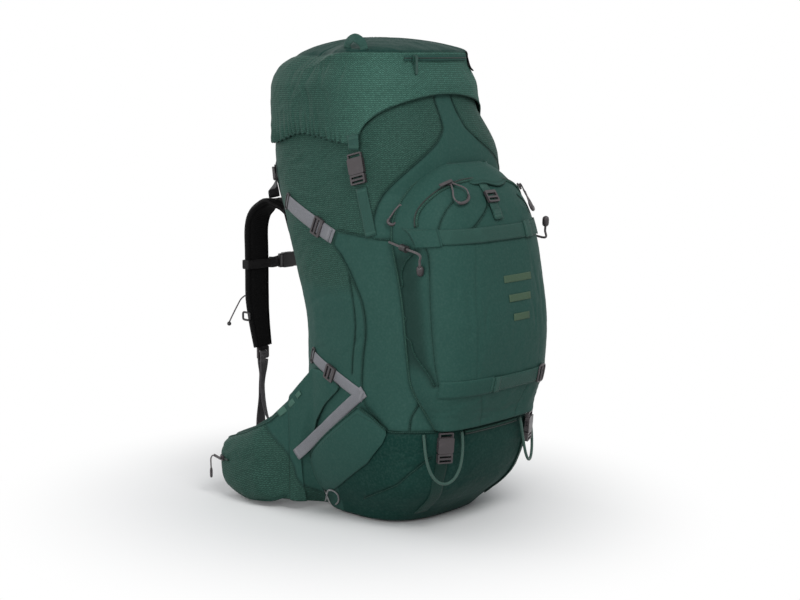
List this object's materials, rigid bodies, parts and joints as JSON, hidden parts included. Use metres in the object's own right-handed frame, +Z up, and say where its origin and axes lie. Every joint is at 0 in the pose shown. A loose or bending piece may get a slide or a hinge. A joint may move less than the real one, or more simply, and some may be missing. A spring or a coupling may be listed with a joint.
{
  "type": "hiking backpack",
  "caption": "Tall internal-frame trekking rucksack with hinged lid, arched front pocket, sliding yoke, swinging hip fins and zip, buckle and loop fittings that move.",
  "frame": {"origin": "centre of the base panel's underside, where the pack stands", "axes": "+Z up along the pack, +Y towards the wearer's back, +X towards the wearer's right"},
  "size_m": [0.4198, 0.5679, 0.824],
  "materials": {
    "green_ripstop": "matte",
    "dark_ripstop": "matte",
    "stretch_woven": "matte",
    "green_webbing": "matte",
    "grey_webbing": "matte",
    "black_mesh": "matte",
    "black_webbing": "matte",
    "grey_hardware": "satin",
    "black_hardware": "satin",
    "frame_alloy": "satin"
  },
  "bodies": {
    "pack": {"packbag": "green_ripstop", "base_panel": "dark_ripstop", "collar": "black_mesh", "collar_cord": "grey_webbing", "collar_cord_lock": "black_hardware", "floating_divider": "dark_ripstop", "framesheet": "black_hardware", "perimeter_frame": "frame_alloy", "centre_stay": "frame_alloy", "back_pads": "black_mesh", "lumbar_pad": "black_mesh", "front_pocket": "green_ripstop", "side_pocket_left": "stretch_woven", "side_pocket_right": "stretch_woven", "compression_straps_left": "grey_webbing", "compression_straps_right": "grey_webbing", "ladderlocks": "grey_hardware", "front_webbing": "green_webbing", "zip_tapes": "black_webbing", "lid_buckle_tongues": "grey_hardware", "lid_anchor_tapes": "green_webbing", "pad_straps": "green_webbing", "pad_buckle_sockets": "grey_hardware", "tool_cords": "black_webbing", "harness_webbing": "grey_webbing", "hip_wing_left": "dark_ripstop", "hip_wing_right": "dark_ripstop"},
    "lid": {"lid_shell": "green_ripstop", "lid_floor": "dark_ripstop", "lid_zip": "black_webbing", "lid_straps": "green_webbing", "lid_buckle_sockets": "grey_hardware"},
    "lid_slider": {"lid_zip_slider": "grey_hardware"},
    "front_slider_left": {"front_zip_slider_left": "grey_hardware"},
    "front_slider_right": {"front_zip_slider_right": "grey_hardware"},
    "harness": {"yoke": "black_mesh", "shoulder_strap_left": "black_mesh", "shoulder_strap_right": "black_mesh", "strap_ladderlocks": "grey_hardware"},
    "sternum": {"sternum_bands": "black_webbing", "sternum_webbing": "grey_webbing", "sternum_socket": "black_hardware", "sternum_tongue": "black_hardware"},
    "hip_left": {"hip_fin_left": "black_mesh", "hip_pocket_left": "green_ripstop", "hip_webbing_left": "black_webbing", "hip_buckle_socket": "grey_hardware"},
    "hip_right": {"hip_fin_right": "black_mesh", "hip_pocket_right": "green_ripstop", "hip_webbing_right": "black_webbing", "hip_buckle_tongue": "grey_hardware"},
    "hip_zip_slider_left": {"hip_slider_left": "grey_hardware"},
    "hip_zip_slider_right": {"hip_slider_right": "grey_hardware"},
    "pad_clip_left": {"pad_tongue_left": "grey_hardware"},
    "pad_clip_right": {"pad_tongue_right": "grey_hardware"},
    "axe_left": {"axe_loop_left": "green_webbing"},
    "axe_right": {"axe_loop_right": "green_webbing"},
    "haul": {"haul_loop": "black_webbing"},
    "tool_left": {"tool_lock_left": "grey_hardware"},
    "tool_right": {"tool_lock_right": "grey_hardware"}
  },
  "joints": [
    {"name": "lid_hinge", "type": "hinge", "parent": "pack", "child": "lid", "pos_m": [0, 0.22421, 0.66], "axis": [-1, 0, 0], "range_deg": [0, 100]},
    {"name": "lid_zip_run", "type": "hinge", "parent": "lid", "child": "lid_slider", "pos_m": [0, 0.22552, 0.789], "axis": [0, 0, 1], "range_deg": [0, 21]},
    {"name": "front_zip_left", "type": "hinge", "parent": "pack", "child": "front_slider_left", "pos_m": [-0.03543, -0.1201, 0.45656], "axis": [0.0538, -0.9097, -0.4118], "range_deg": [-12, 12]},
    {"name": "front_zip_right", "type": "hinge", "parent": "pack", "child": "front_slider_right", "pos_m": [0.0612, -0.14063, 0.51467], "axis": [0.0628, 0.8676, 0.4933], "range_deg": [-12, 12]},
    {"name": "torso_slide", "type": "slide", "parent": "pack", "child": "harness", "axis": [0, 0.3721, 0.9282], "range_m": [-0.012, 0.04], "deforming": ["harness_webbing"]},
    {"name": "sternum_slide", "type": "slide", "parent": "harness", "child": "sternum", "axis": [0, 0, 1], "range_m": [-0.045, 0.045]},
    {"name": "hip_left_hinge", "type": "hinge", "parent": "pack", "child": "hip_left", "pos_m": [-0.17373, 0.1, 0.11], "axis": [0, 0, 1], "range_deg": [0, 35]},
    {"name": "hip_right_hinge", "type": "hinge", "parent": "pack", "child": "hip_right", "pos_m": [0.17373, 0.1, 0.11], "axis": [0, 0, -1], "range_deg": [0, 35]},
    {"name": "hip_zip_left", "type": "hinge", "parent": "hip_left", "child": "hip_zip_slider_left", "pos_m": [0.06785, 0.16808, 0.072], "axis": [0, 0, 1], "range_deg": [0, 21]},
    {"name": "hip_zip_right", "type": "hinge", "parent": "hip_right", "child": "hip_zip_slider_right", "pos_m": [-0.06785, 0.16808, 0.072], "axis": [0, 0, -1], "range_deg": [0, 21]},
    {"name": "pad_clip_left_slide", "type": "slide", "parent": "pack", "child": "pad_clip_left", "axis": [0, 0.0873, -0.9962], "range_m": [0, 0.026]},
    {"name": "pad_clip_right_slide", "type": "slide", "parent": "pack", "child": "pad_clip_right", "axis": [0, 0.0873, -0.9962], "range_m": [0, 0.026]},
    {"name": "axe_left_hinge", "type": "hinge", "parent": "pack", "child": "axe_left", "pos_m": [-0.107, -0.19998, 0.177], "axis": [-0.9032, 0.4293, 0], "range_deg": [0, 70]},
    {"name": "axe_right_hinge", "type": "hinge", "parent": "pack", "child": "axe_right", "pos_m": [0.107, -0.19998, 0.177], "axis": [-0.9032, -0.4293, 0], "range_deg": [0, 70]},
    {"name": "haul_hinge", "type": "hinge", "parent": "pack", "child": "haul", "pos_m": [0, 0.21921, 0.64], "axis": [1, 0, 0], "range_deg": [0, 70]},
    {"name": "tool_left_slide", "type": "slide", "parent": "pack", "child": "tool_left", "axis": [-0.1413, -0.9756, -0.1681], "range_m": [-0.012, 0.012]},
    {"name": "tool_right_slide", "type": "slide", "parent": "pack", "child": "tool_right", "axis": [0.1413, -0.9756, -0.1681], "range_m": [-0.012, 0.012]}
  ]
}
